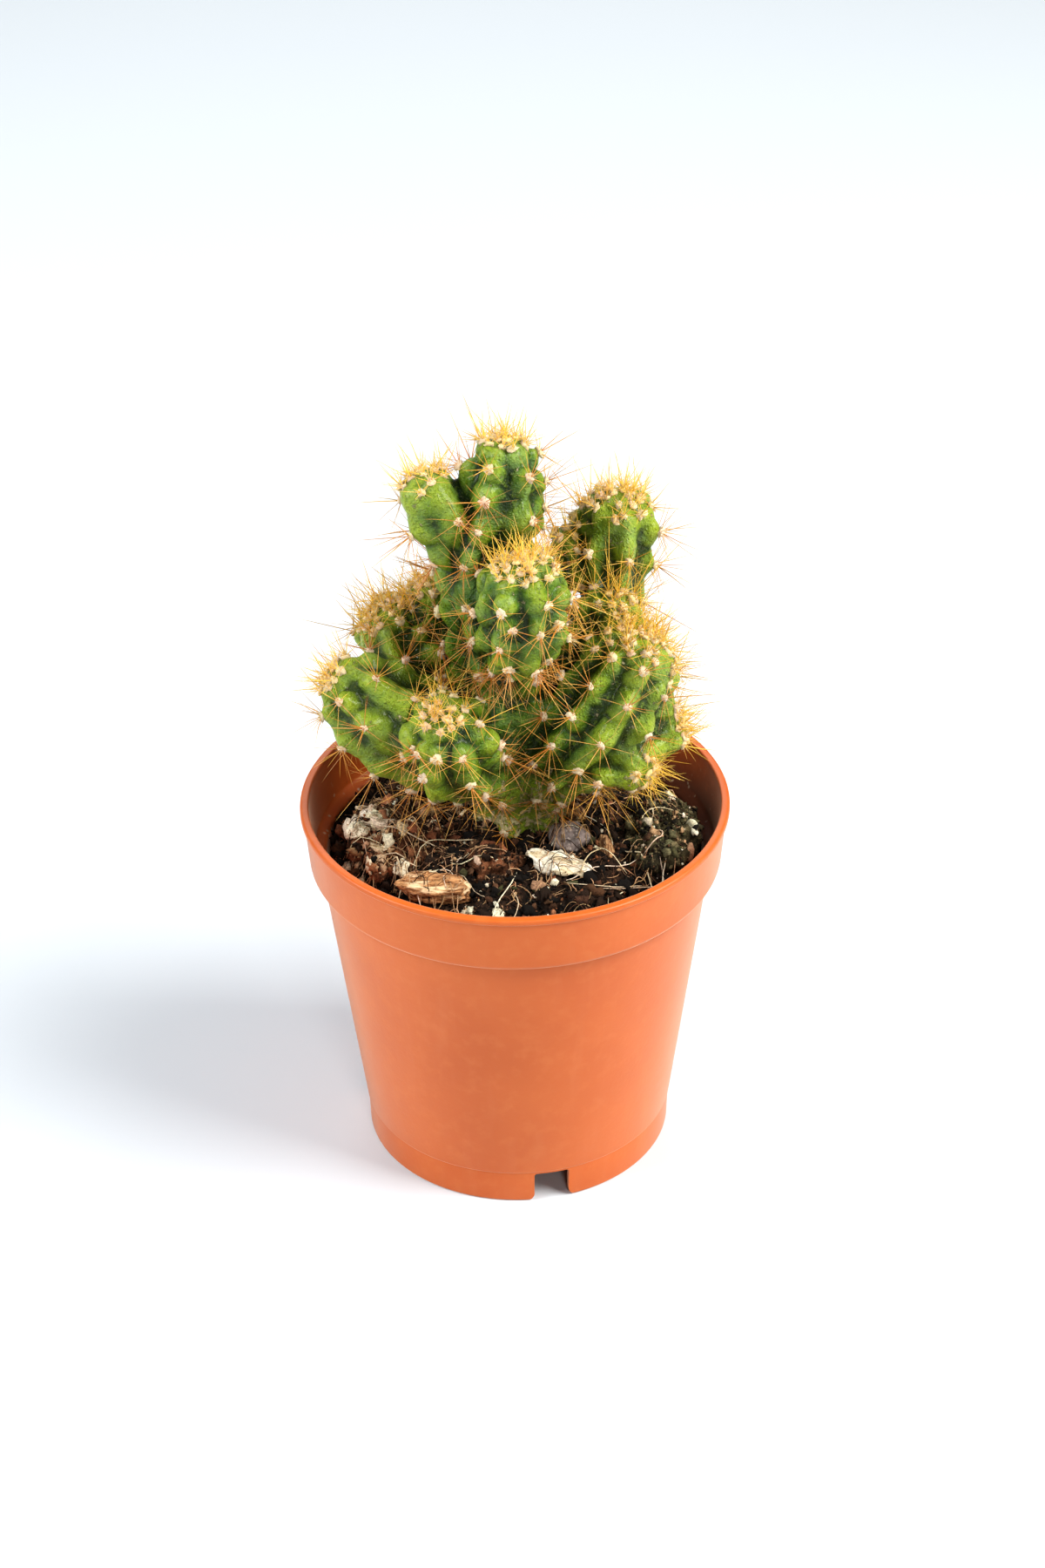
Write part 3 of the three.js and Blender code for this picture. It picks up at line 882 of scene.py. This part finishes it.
# Leaves out areoles that crowd an earlier one, or that the mix hides.
def spacedOut(found, look):
    kept = []
    crownApart = look["crownSpacing"] * look["crownApart"]
    for spot, normal, name, youth in found:
        gap = (crownApart if youth > youngFrom else look["apart"]) * mm
        if spot.z < mixTop - look["buried"] * mm:
            continue
        if all((spot - other[0]).length > gap for other in kept):
            kept.append((spot, normal, name, youth))
    return kept


def modelWool(areoles, look):
    chance = random.Random(look["seed"] + 1)
    pads = [modelLump("wool pad", 2, 0.75, seed) for seed in range(3)]
    taper = [(0, 0.5), (0.4, 0.45), (0.8, 0.3), (1, 0.1)]
    hair = [modelStalk("wool hair", 3, taper, bow) for bow in (0.25, 0.6)]
    placed, strands = [], []
    for spot, normal, _, youth in areoles:
        young = youth > youngFrom
        size = chance.uniform(*look["padSize"]) * (look["crownPad"] if young else 1) * mm
        shade = blend(look["wool"], look["pinkWool"], chance.random())
        shade = blend(shade, look["goldWool"], min(1, max(0, youth) * chance.uniform(0.2, 1.0)))
        flat = (size * chance.uniform(0.85, 1.25), size, size * chance.uniform(0.55, 0.8))
        shade = tinted(shade, 0.1, chance)
        foot = blend(shade, look["pinkWool"], 0.5)
        number = chance.randrange(len(pads))
        where = placing(spot + normal * look["raised"] * mm, normal, anyTurn(chance), flat)
        placed.append((number, where, foot, shade))
        for _ in range(look["hairs"][young]):
            aim = (normal * chance.uniform(0.25, 1.0) + randomWay(chance) * 0.8).normalized()
            long = chance.uniform(*look["hairLength"]) * mm
            wide = look["hairWidth"] * mm
            root = spot + randomWay(chance) * size * 0.5 + normal * 0.1 * mm
            number = chance.randrange(len(hair))
            where = placing(root, aim, anyTurn(chance), (wide, wide, long))
            strands.append((number, where, shade, shade))
    return scatterCopies("areole_wool", pads, placed), scatterCopies("areole_hairs", hair, strands)


def randomWay(chance):
    while True:
        way = Vector((chance.uniform(-1, 1), chance.uniform(-1, 1), chance.uniform(-1, 1)))
        if 0.1 < way.length < 1:
            return way.normalized()


# Directions round a normal, leaning out from it by an angle in degrees.
def leaning(normal, lean, angle):
    side = normal.orthogonal().normalized()
    other = normal.cross(side)
    out = side * math.cos(angle) + other * math.sin(angle)
    return normal * math.cos(math.radians(lean)) + out * math.sin(math.radians(lean))


def modelSpines(areoles, look):
    chance = random.Random(look["seed"])
    taper = [(0, 0.9), (0.12, 1.0), (0.45, 0.82), (0.8, 0.45), (1, 0.08)]
    patterns = [modelStalk("spine", 4, taper, bow) for bow in look["bows"]]
    aheadOf = dict(zip(stemNames, (ahead for _, ahead in tips)))
    placed = []
    for spot, normal, name, youth in areoles:
        young = youth > youngFrom
        crowded = youth == oldAndCrowded
        way = (normal + aheadOf[name] * max(0.1, 0.7 * youth)).normalized()
        start = anyTurn(chance)
        kind = "crown" if young else "crowded" if crowded else "radial"
        radials = chance.randint(*look[kind + "Spines"])
        jobs = []
        for k in range(radials):
            lean = chance.uniform(*look[kind + "Lean"])
            turn = start + 2 * math.pi * k / radials + chance.uniform(-0.2, 0.2)
            jobs.append((lean, turn, look["crownLength" if young else "radialLength"], look["radialWidth"]))
        centrals, reach = ("crownCentrals", "crownCentralLength") if young else ("centrals", "centralLength")
        for k in range(chance.randint(*look[centrals])):
            lean = chance.uniform(*look["centralLean"])
            jobs.append((lean, anyTurn(chance), look[reach], look["centralWidth"]))
        for lean, angle, lengths, thick in jobs:
            aim = leaning(way, lean, angle)
            long = chance.uniform(*lengths) * look["longSpined"].get(name, 1)
            long *= look["crowdedLonger"] if crowded else 1
            wide = look["width"] * thick * chance.uniform(*look["widthVaries"])
            foot, top = spineTint(look, 1 if name in look["brightSpined"] else youth, chance)
            size = (wide * mm, wide * mm, long * mm)
            number = chance.randrange(len(patterns))
            where = placing(spot + normal * look["raised"] * mm, aim, anyTurn(chance), size)
            placed.append((number, where, foot, top))
    return scatterCopies("cactus_spines", patterns, placed)


# Gold near the tips, then amber, and rust or straw where the spines are old.
def spineTint(look, youth, chance):
    old = blend(look["amber"], look["rust"], chance.random())
    fresh = blend(look["gold"], look["paleGold"], chance.random() * 0.7)
    share = min(1, max(0, youth * 1.9 + chance.uniform(-0.25, 0.25)))
    foot = blend(old, fresh, share)
    top = blend(foot, look["straw"], chance.uniform(0.1, 0.7))
    return tinted(foot, 0.15, chance), tinted(top, 0.12, chance)


def hornFinish():
    finish = Finish("spine horn", roughness=0.38, specular_ior_level=0.5, subsurface_weight=0.2)
    finish.set(subsurface_radius=(0.3 * mm, 0.2 * mm, 0.1 * mm))
    grain = finish.clouds(0.6, detail=2)
    finish.set(base_color=finish.mix(grain * 0.2, finish.attribute("tint"), colour(255, 214, 120)))
    return finish.material


def woolFinish():
    finish = Finish("areole wool", roughness=0.95, specular_ior_level=0.15, sheen_weight=0.3)
    fuzz = finish.clouds(0.16, detail=4, rough=0.7)
    shadow = finish.between(fuzz, 0.3, 0.7) * 0.35
    finish.set(base_color=finish.mix(shadow, finish.attribute("tint"), colour(176, 140, 100)))
    finish.bump(fuzz, 0.1, 0.8)
    return finish.material


areoles = layOutAreoles(areoleLook, treeOf(skin))
raiseKnobs(skin, areoles, skinShape)
markSkin(skin, mixTop, skinShape)
finishPiece(skin, skinFinish(), stemNames)
skinTree = treeOf(skin)
areoles = [(*skinTree.find_nearest(spot)[:2], name, youth) for spot, _, name, youth in areoles]
wool, hairs = modelWool(areoles, areoleLook)
woolMaterial = woolFinish()
finishPiece(wool, woolMaterial)
finishPiece(hairs, woolMaterial)
spines = modelSpines(areoles, spineLook)
finishPiece(spines, hornFinish(), tuftNames)
print("areoles:", len(areoles), "with", len(spines.data.polygons), "faces of spines")


# Potting mix and what lies in it.

mixLook = {
    "voxel": 0.5,
    "topFrom": 40.5,
    "clods": ((5.5, 1.0), (2.2, 0.8), (0.9, 0.35)),
}
# a loose piece: voxel, layers of roughness (size, height), stretch of the roughness, smoothing
looseLooks = {
    "left_clod": (0.36, ((3.4, 1.6), (1.4, 1.0), (0.6, 0.4)), (1, 1, 1), 0),
    "right_clod": (0.36, ((3.2, 1.6), (1.3, 1.0), (0.6, 0.4)), (1, 1, 1), 0),
    "front_clod": (0.34, ((2.6, 1.3), (1.2, 0.8), (0.5, 0.35)), (1, 1, 1), 0),
    "grey_pebble": (0.24, ((1.8, 0.5), (0.7, 0.16)), (1, 1, 1), 5),
    "bark_chip": (0.22, ((2.0, 0.9), (0.8, 0.5), (0.35, 0.16)), (0.24, 1.1, 1.9), 1),
    "bark_splinter": (0.2, ((1.6, 0.3), (0.6, 0.15)), (1.5, 0.3, 1.5), 1),
    "pale_flake": (0.2, ((2.3, 1.0), (1.0, 0.6), (0.45, 0.2)), (0.8, 1.0, 0.6), 1),
    "husk": (0.2, ((1.4, 0.3), (0.5, 0.1)), (1, 1, 1), 1),
}
for side in ("left", "middle", "right", "rear"):
    looseLooks["perlite_" + side] = (0.2, ((1.2, 0.35), (0.5, 0.15)), (1, 1, 1), 1)


def roughCopy(name, label, voxel, layers, stretch, smoothing):
    obj = copyOfNode(name, label)
    applyModifier(obj, "REMESH", mode="VOXEL", voxel_size=voxel * mm)
    if smoothing:
        applyModifier(obj, "SMOOTH", factor=0.5, iterations=smoothing)
    coords = coordsOf(obj.data)
    moveTo(obj.data, coords + normalsOf(obj.data) * waves(coords, layers, stretch)[:, None] * mm)
    smoothShade(obj)
    return obj


def modelMix(look):
    mix = copyOfNode("potting_mix", "potting_soil")
    applyModifier(mix, "REMESH", mode="VOXEL", voxel_size=look["voxel"] * mm)
    coords = coordsOf(mix.data)
    top = np.clip((coords[:, 2] / mm - look["topFrom"]) / 2, 0, 1)
    coords[:, 2] += waves(coords, look["clods"]) * top * mm
    moveTo(mix.data, coords)
    smoothShade(mix)
    return mix


def soilFinish(name, dark, brown, light):
    finish = Finish(name, roughness=0.95, specular_ior_level=0.2)
    big = finish.clouds(2.6, detail=5, rough=0.65)
    small = finish.clouds(0.5, detail=5, rough=0.7)
    bits = finish.cells(0.7)
    shade = finish.mix(finish.between(big, 0.36, 0.66), dark, brown)
    shade = finish.mix(finish.between(small, 0.54, 0.74) * 0.8, shade, light)
    shade = finish.mix(finish.between(bits, 0.5, 0.9) * 0.7, shade, colour(12, 8, 5))
    finish.set(base_color=shade)
    finish.bump(small + bits * 0.6, 0.35, 1.0)
    return finish.material


def barkFinish(name, shades, stretch, creamFrom):
    dark, brown, cream = shades
    finish = Finish(name, roughness=0.85, specular_ior_level=0.25)
    along = finish.stretched(finish.place(), stretch)
    grain = finish.clouds(0.5, detail=5, rough=0.65, vector=along)
    broad = finish.clouds(2.4, detail=4, vector=along)
    shade = finish.mix(finish.between(grain, 0.36, 0.62), dark, brown)
    shade = finish.mix(finish.between(broad, creamFrom, creamFrom + 0.1), shade, cream)
    shade = finish.mix(finish.between(grain, 0.3, 0.44), colour(58, 34, 20), shade)
    finish.set(base_color=shade)
    finish.bump(grain + broad * 0.5, 0.28, 1.0)
    return finish.material


def pebbleFinish():
    finish = Finish("grey stone", specular_ior_level=0.4)
    broad = finish.clouds(1.8, detail=5, rough=0.6)
    spots = finish.cells(0.45)
    shade = finish.mix(finish.between(broad, 0.36, 0.64), colour(92, 82, 78), colour(148, 134, 128))
    shade = finish.mix((1.0 - finish.between(spots, 0.1, 0.4)) * 0.55, shade, colour(188, 176, 164))
    pits = finish.between(finish.clouds(0.5, detail=4), 0.58, 0.7) * 0.6
    shade = finish.mix(pits, shade, colour(58, 48, 44))
    finish.set(base_color=shade, roughness=0.6 + broad * 0.2)
    finish.bump(broad + spots * 0.4, 0.2, 0.8)
    return finish.material


def grainFinish():
    finish = Finish("perlite", roughness=0.9, specular_ior_level=0.3, subsurface_weight=0.15)
    finish.set(subsurface_radius=(0.5 * mm, 0.5 * mm, 0.45 * mm))
    pores = finish.cells(0.3)
    shade = finish.mix(finish.between(pores, 0.1, 0.6), colour(160, 146, 120), colour(226, 214, 188))
    stain = finish.between(finish.clouds(1.4, detail=4), 0.56, 0.72)
    finish.set(base_color=finish.mix(stain * 0.6, shade, colour(150, 120, 88)))
    finish.bump(pores, 0.2, 0.8)
    return finish.material


mixMaterial = soilFinish("potting mix", colour(14, 10, 7), colour(58, 40, 28), colour(138, 106, 78))
redPeat = soilFinish("red peat", colour(66, 40, 25), colour(150, 100, 70), colour(212, 168, 130))
mossPeat = soilFinish("mossy peat", colour(36, 32, 21), colour(92, 84, 58), colour(176, 158, 118))
barkShades = (colour(120, 76, 44), colour(196, 146, 100), colour(228, 198, 158))
splinterShades = (colour(112, 72, 44), colour(186, 146, 104), colour(214, 184, 144))
flakeShades = (colour(186, 164, 128), colour(232, 216, 184), colour(244, 236, 216))
bark = barkFinish("bark", barkShades, (0.35, 1.6, 2.2), 0.52)
splinterBark = barkFinish("splinter bark", splinterShades, (2, 0.35, 2), 0.6)
flakeBark = barkFinish("pale flake", flakeShades, (0.6, 1.4, 1.6), 0.45)
grain = grainFinish()
looseMaterials = {
    "left_clod": (redPeat, "peat_clod"),
    "right_clod": (mossPeat, "peat_clod"),
    "front_clod": (redPeat, "peat_clod"),
    "grey_pebble": (pebbleFinish(), "grey_stone"),
    "bark_chip": (bark, "bark"),
    "bark_splinter": (splinterBark, "bark"),
    "pale_flake": (flakeBark, "pale_flake"),
    "husk": (splinterBark, "pale_flake"),
}
mix = modelMix(mixLook)
finishPiece(mix, mixMaterial, ["potting_mix"])
loose = {}
for name, look in looseLooks.items():
    loose[name] = roughCopy(name, "loose_" + name, *look)
    material, slot = looseMaterials.get(name, (grain, "perlite"))
    finishPiece(loose[name], material, [name])
print("mix and loose pieces modelled:", len(mix.data.polygons), "faces in the mix")


# Crumbs, fibres and roots on the mix.

litterLook = {
    "seed": 31,
    "reach": 23.6,
    "crumbs": 900,
    "crumbSize": (0.28, 0.85),
    "grit": 8200,
    "gritSize": (0.1, 0.34),
    "flakes": 46,
    "flakeSize": (0.5, 1.25),
    "clodShare": 0.42,  # this share of the flakes gathers here: mean and spread of X, then of Y
    "clodSpot": ((-18.5, 2.2), (-6.0, 2.4)),
    "fibres": 900,
    "fibreShare": 0.4,  # and this share of the fibres here
    "fibreSpot": ((-14, 4), (-4, 5)),
    "fibreLength": (1.6, 6.0),
    "fibreWidth": (0.035, 0.075),
    "roots": 34,
    "rootSpan": ((-20, 20), (-16, -4)),
    "strandSteps": 9,
    "strandBend": (-0.35, 0.35),
    "strandShake": (-0.3, 0.3),
    "endWidth": 0.35,
    "rootLength": (5, 15),
    "rootWidth": (0.05, 0.11),
}
black, deepBrown, brown = colour(18, 13, 9), colour(50, 33, 22), colour(98, 68, 47)
reddish, tan, cream = colour(158, 103, 71), colour(204, 164, 124), colour(250, 236, 206)
moss, greyMoss = colour(80, 77, 50), colour(128, 120, 88)
# what the crumbs are made of on each piece of ground, by weight
palettes = {
    "mix": ((black, 6), (deepBrown, 5), (brown, 3), (reddish, 0.8), (tan, 0.6), (cream, 0.3), (moss, 0.6)),
    "left_clod": ((black, 1), (deepBrown, 2), (brown, 4), (reddish, 6), (tan, 4), (cream, 1.6)),
    "right_clod": ((black, 2), (deepBrown, 2), (brown, 1), (moss, 4), (greyMoss, 4), (tan, 1.2), (cream, 1)),
    "front_clod": ((black, 2), (deepBrown, 4), (brown, 4), (reddish, 2), (tan, 1), (cream, 0.4)),
}


def surfaceUnder(x, y):
    best = None
    for kind, tree in groundTrees.items():
        hit, normal, _, _ = tree.ray_cast(Vector((x, y, 60)) * mm, -up)
        if hit is not None and (best is None or hit.z > best[0].z):
            best = (hit, normal, kind)
    return best


def anySpot(chance, reach):
    angle = chance.uniform(0, 2 * math.pi)
    far = reach * math.sqrt(chance.random())
    return far * math.cos(angle), far * math.sin(angle)


def scatterCrumbs(label, count, sizes, patterns, look, chance):
    placed = []
    while len(placed) < look[count]:
        found = surfaceUnder(*anySpot(chance, look["reach"]))
        if found is None or found[2] not in palettes:
            continue
        hit, normal, kind = found
        shades, weights = zip(*palettes[kind])
        shade = tinted(chance.choices(shades, weights)[0], 0.3, chance)
        size = chance.uniform(*look[sizes]) * chance.uniform(0.6, 1.0) * mm
        flat = [size * chance.uniform(0.6, 1.5) for _ in range(3)]
        spot = hit + normal * size * chance.uniform(-0.1, 0.5)
        where = placing(spot, randomWay(chance), anyTurn(chance), flat)
        placed.append((chance.randrange(len(patterns)), where, blend(shade, black, 0.35), shade))
    return scatterCopies(label, patterns, placed)


# Thin pale chips of bark, most of them on the front of the left clod.
def scatterFlakes(look, patterns, chance):
    placed = []
    while len(placed) < look["flakes"]:
        if len(placed) < look["flakes"] * look["clodShare"]:
            x, y = [chance.gauss(*spread) for spread in look["clodSpot"]]
        else:
            x, y = anySpot(chance, look["reach"] - 1)
        found = surfaceUnder(x, y)
        if found is None or found[2] not in palettes:
            continue
        hit, normal, _ = found
        size = chance.uniform(*look["flakeSize"]) * mm
        aim = (normal + randomWay(chance) * 0.5).normalized()
        flat = (size * chance.uniform(0.8, 1.6), size, size * chance.uniform(0.18, 0.4))
        shade = tinted(blend(cream, tan, chance.random() ** 2), 0.1, chance)
        where = placing(hit + normal * 0.3 * mm, aim, anyTurn(chance), flat)
        placed.append((chance.randrange(len(patterns)), where, blend(shade, tan, 0.4), shade))
    return scatterCopies("pale_chips", patterns, placed)


# A strand wanders over the ground; it is a list of points, a width and a colour.
def wander(start, length, width, shade, chance, lift):
    heading = chance.uniform(0, 2 * math.pi)
    bend = chance.uniform(*litterLook["strandBend"])
    x, y = start
    points = []
    steps = litterLook["strandSteps"]
    for k in range(steps):
        found = surfaceUnder(x, y)
        if found is None:
            break
        arch = math.sin(math.pi * k / (steps - 1)) * lift
        points.append(found[0] + up * (arch + width) * mm)
        heading += bend + chance.uniform(*litterLook["strandShake"])
        x += math.cos(heading) * length / steps
        y += math.sin(heading) * length / steps
        if math.hypot(x, y) > litterLook["reach"]:
            break
    return points, width, shade


def layFibres(look, chance):
    strands = []
    for _ in range(look["fibres"]):
        start = anySpot(chance, look["reach"])
        if chance.random() < look["fibreShare"]:
            start = tuple(chance.gauss(*spread) for spread in look["fibreSpot"])
        shade = tinted(chance.choice((deepBrown, brown, tan, tan, tan)), 0.3, chance)
        width = chance.uniform(*look["fibreWidth"])
        length = chance.uniform(*look["fibreLength"])
        strands.append(wander(start, length, width, shade, chance, chance.uniform(0, 1.0)))
    return strands


def layRoots(look, chance):
    strands = []
    for _ in range(look["roots"]):
        start = tuple(chance.uniform(*span) for span in look["rootSpan"])
        shade = tinted(blend(cream, tan, chance.random() * 0.6), 0.1, chance)
        width = chance.uniform(*look["rootWidth"])
        length = chance.uniform(*look["rootLength"])
        strands.append(wander(start, length, width, shade, chance, chance.uniform(0.1, 1.2)))
    return strands


def modelStrands(label, strands):
    sides = 4
    points, faces, tints = [], [], []
    for path, width, shade in strands:
        if len(path) < 4:
            continue
        path = [(a + b * 2 + c) / 4 for a, b, c in zip([path[0]] + path, path, path[1:] + [path[-1]])]
        base = len(points)
        for k, spot in enumerate(path):
            along = (path[min(k + 1, len(path) - 1)] - path[max(k - 1, 0)]).normalized()
            side = along.cross(up).normalized()
            over = side.cross(along)
            wide = width * mm * (litterLook["endWidth"] if k in (0, len(path) - 1) else 1)
            for j in range(sides):
                turn = 2 * math.pi * j / sides
                points.append(spot + (side * math.cos(turn) + over * math.sin(turn)) * wide)
                tints.append((*shade, 1))
            if k:
                for j in range(sides):
                    a, b = base + (k - 1) * sides + j, base + (k - 1) * sides + (j + 1) % sides
                    faces.append((a, b, b + sides, a + sides))
        last = len(points) - sides
        faces.append(tuple(base + j for j in reversed(range(sides))))
        faces.append(tuple(last + j for j in range(sides)))
    mesh = bpy.data.meshes.new(label)
    mesh.from_pydata(points, [], faces)
    obj = tintedObject(label, mesh, np.array(tints))
    faceOutwards(obj)
    return obj


def litterFinish():
    finish = Finish("crumbs", roughness=0.9, specular_ior_level=0.25)
    rough = finish.clouds(0.25, detail=5, rough=0.7)
    shade = finish.mix(finish.between(rough, 0.35, 0.7) * 0.6, finish.attribute("tint"), colour(20, 13, 8))
    finish.set(base_color=shade)
    finish.bump(rough, 0.15, 0.8)
    return finish.material


groundTrees = {"mix": treeOf(mix)} | {name: treeOf(obj) for name, obj in loose.items()}
litterChance = random.Random(litterLook["seed"])
crumbPatterns = [modelLump("crumb", 2, 0.9, seed) for seed in range(5)]
gritPatterns = [modelLump("grit", 1, 0.7, seed + 9) for seed in range(4)]
crumbs = scatterCrumbs("soil_crumbs", "crumbs", "crumbSize", crumbPatterns, litterLook, litterChance)
grit = scatterCrumbs("soil_grit", "grit", "gritSize", gritPatterns, litterLook, litterChance)
chips = scatterFlakes(litterLook, crumbPatterns, litterChance)
fibres = modelStrands("peat_fibres", layFibres(litterLook, litterChance))
roots = modelStrands("fine_roots", layRoots(litterLook, litterChance))
litterMaterial = litterFinish()
for piece in (crumbs, grit, chips, fibres, roots):
    finishPiece(piece, litterMaterial)
print("crumbs, fibres and roots laid")

# Floor and finish.

studioFloor = {"size": 6000, "drop": 0.02, "shade": colour(208, 214, 219)}


def layFloor(look):
    deselectAll()
    bpy.ops.mesh.primitive_plane_add(size=look["size"] * mm, location=(0, 0, -look["drop"] * mm))
    floor = bpy.context.object
    floor.name = "studio floor"
    paper = Finish("studio paper", base_color=look["shade"], roughness=0.9)
    floor.data.materials.append(paper.material)


layFloor(studioFloor)
